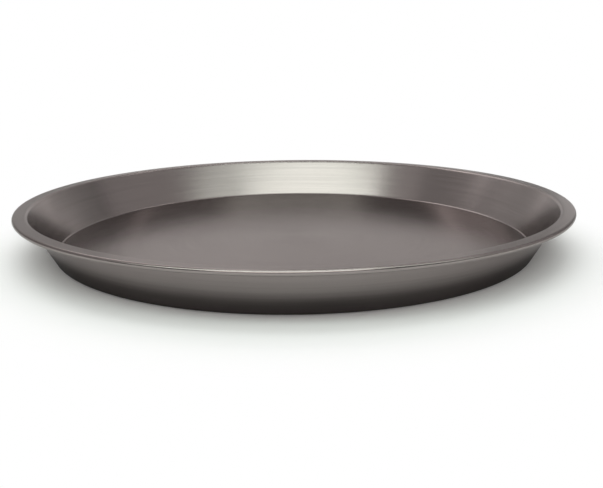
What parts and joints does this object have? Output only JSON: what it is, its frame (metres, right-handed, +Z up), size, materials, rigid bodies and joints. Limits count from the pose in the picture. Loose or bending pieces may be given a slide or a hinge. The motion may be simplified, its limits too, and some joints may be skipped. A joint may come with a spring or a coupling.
{
  "type": "pizza pan",
  "caption": "Shallow round tapered pan for baking pizza, with a flat floor, one sloping wall and a narrow level flange rolled over a wire hoop",
  "frame": {"origin": "centre of the underside, where the pan rests", "axes": "+Z up along the pan's axis, out of its mouth; +X to the right and +Y to the back as the picture shows it"},
  "size_m": [0.32, 0.32, 0.0257],
  "materials": {
    "pan_metal": "dark grey satin metal with fine spinning lines that run round the axis",
    "wire_metal": "plain drawn wire, hidden inside the rolled edge"
  },
  "bodies": {
    "root": {"pan_shell": "pan_metal", "rim_wire": "wire_metal"}
  },
  "joints": []
}
